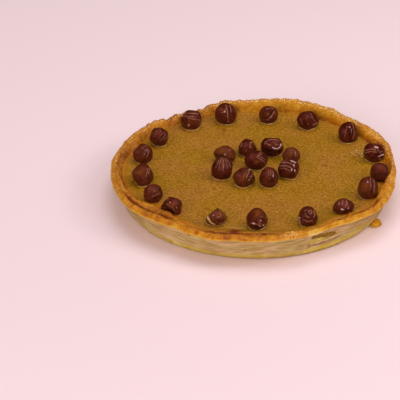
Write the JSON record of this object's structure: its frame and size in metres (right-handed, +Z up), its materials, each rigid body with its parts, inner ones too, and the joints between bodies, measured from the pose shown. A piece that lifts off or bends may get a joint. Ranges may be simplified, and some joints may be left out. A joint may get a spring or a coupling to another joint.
{
  "type": "custard pie",
  "caption": "Round baked custard pie in an uneven shortcrust case, topped with glazed peeled chestnuts; the whole pie stands on its flat base.",
  "frame": {"origin": "middle of the flat underside of the pastry case", "axes": "+Z up, out of the custard's top; -Y towards the pictured front; +X to the right of the picture"},
  "size_m": [0.278, 0.2852, 0.0435],
  "materials": {
    "crust": null,
    "custard": null,
    "chestnut": null
  },
  "bodies": {
    "root": {"crust": "crust", "custard": "custard", "chestnut_01": "chestnut", "chestnut_02": "chestnut", "chestnut_03": "chestnut", "chestnut_04": "chestnut", "chestnut_05": "chestnut", "chestnut_06": "chestnut", "chestnut_07": "chestnut", "chestnut_08": "chestnut", "chestnut_09": "chestnut", "chestnut_10": "chestnut", "chestnut_11": "chestnut", "chestnut_12": "chestnut", "chestnut_13": "chestnut", "chestnut_14": "chestnut", "chestnut_15": "chestnut", "chestnut_16": "chestnut", "chestnut_17": "chestnut", "chestnut_18": "chestnut", "chestnut_19": "chestnut", "chestnut_20": "chestnut", "chestnut_21": "chestnut", "chestnut_22": "chestnut", "chestnut_23": "chestnut", "chestnut_24": "chestnut", "chestnut_25": "chestnut", "chestnut_26": "chestnut"}
  },
  "joints": []
}
